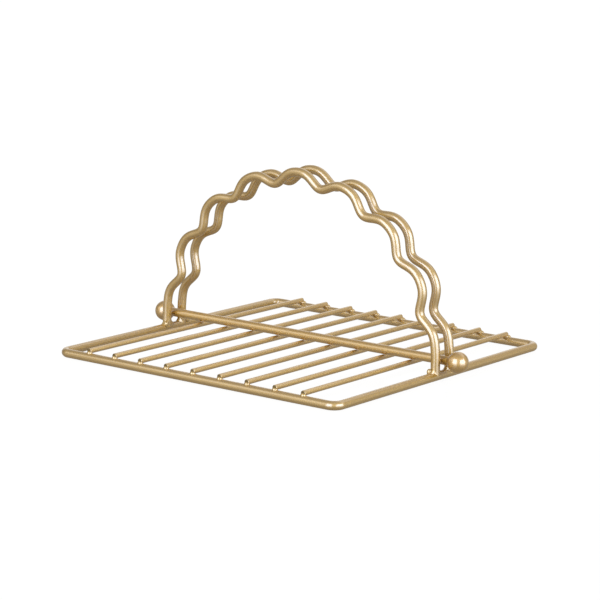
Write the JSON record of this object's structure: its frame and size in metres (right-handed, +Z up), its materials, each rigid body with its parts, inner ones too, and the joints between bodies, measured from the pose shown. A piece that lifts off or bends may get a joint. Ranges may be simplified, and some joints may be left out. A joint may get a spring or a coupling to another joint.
{
  "type": "napkin holder",
  "caption": "Flat wire napkin holder: square base with slats, a pair of scalloped arches across the middle and a loose ball-ended weight bar that rides between them.",
  "frame": {"origin": "on the table, under the middle of the base frame", "axes": "+X along the weight bar and the arches, +Y along the slats to the rear, +Z up"},
  "size_m": [0.214, 0.1906, 0.1036],
  "materials": {
    "wire": "satin gold plating over steel wire",
    "slat": "satin gold plating over steel wire",
    "ball": "satin gold plating over a steel ball",
    "weld": "gold plated weld bead"
  },
  "bodies": {
    "holder": {"base_frame": "wire", "slat_1": "slat", "slat_2": "slat", "slat_3": "slat", "slat_4": "slat", "slat_5": "slat", "slat_6": "slat", "slat_7": "slat", "slat_8": "slat", "slat_9": "slat", "arch_front": "wire", "arch_rear": "wire", "slat_weld_front_1": "weld", "slat_weld_rear_1": "weld", "slat_weld_front_2": "weld", "slat_weld_rear_2": "weld", "slat_weld_front_3": "weld", "slat_weld_rear_3": "weld", "slat_weld_front_4": "weld", "slat_weld_rear_4": "weld", "slat_weld_front_5": "weld", "slat_weld_rear_5": "weld", "slat_weld_front_6": "weld", "slat_weld_rear_6": "weld", "slat_weld_front_7": "weld", "slat_weld_rear_7": "weld", "slat_weld_front_8": "weld", "slat_weld_rear_8": "weld", "slat_weld_front_9": "weld", "slat_weld_rear_9": "weld", "arch_weld_front_left_a": "weld", "arch_weld_front_left_b": "weld", "arch_weld_front_right_a": "weld", "arch_weld_front_right_b": "weld", "arch_weld_rear_left_a": "weld", "arch_weld_rear_left_b": "weld", "arch_weld_rear_right_a": "weld", "arch_weld_rear_right_b": "weld"},
    "bar_left_end": {"ball_left": "ball"},
    "bar": {"weight_bar": "wire", "ball_right": "ball"}
  },
  "joints": [
    {"name": "bar_lift", "type": "slide", "parent": "holder", "child": "bar_left_end", "axis": [0, 0, 1], "range_m": [0, 0.1]},
    {"name": "bar_tilt", "type": "hinge", "parent": "bar_left_end", "child": "bar", "pos_m": [-0.09985, 0, 0.01025], "axis": [0, -1, 0], "range_deg": [0, 30]}
  ]
}
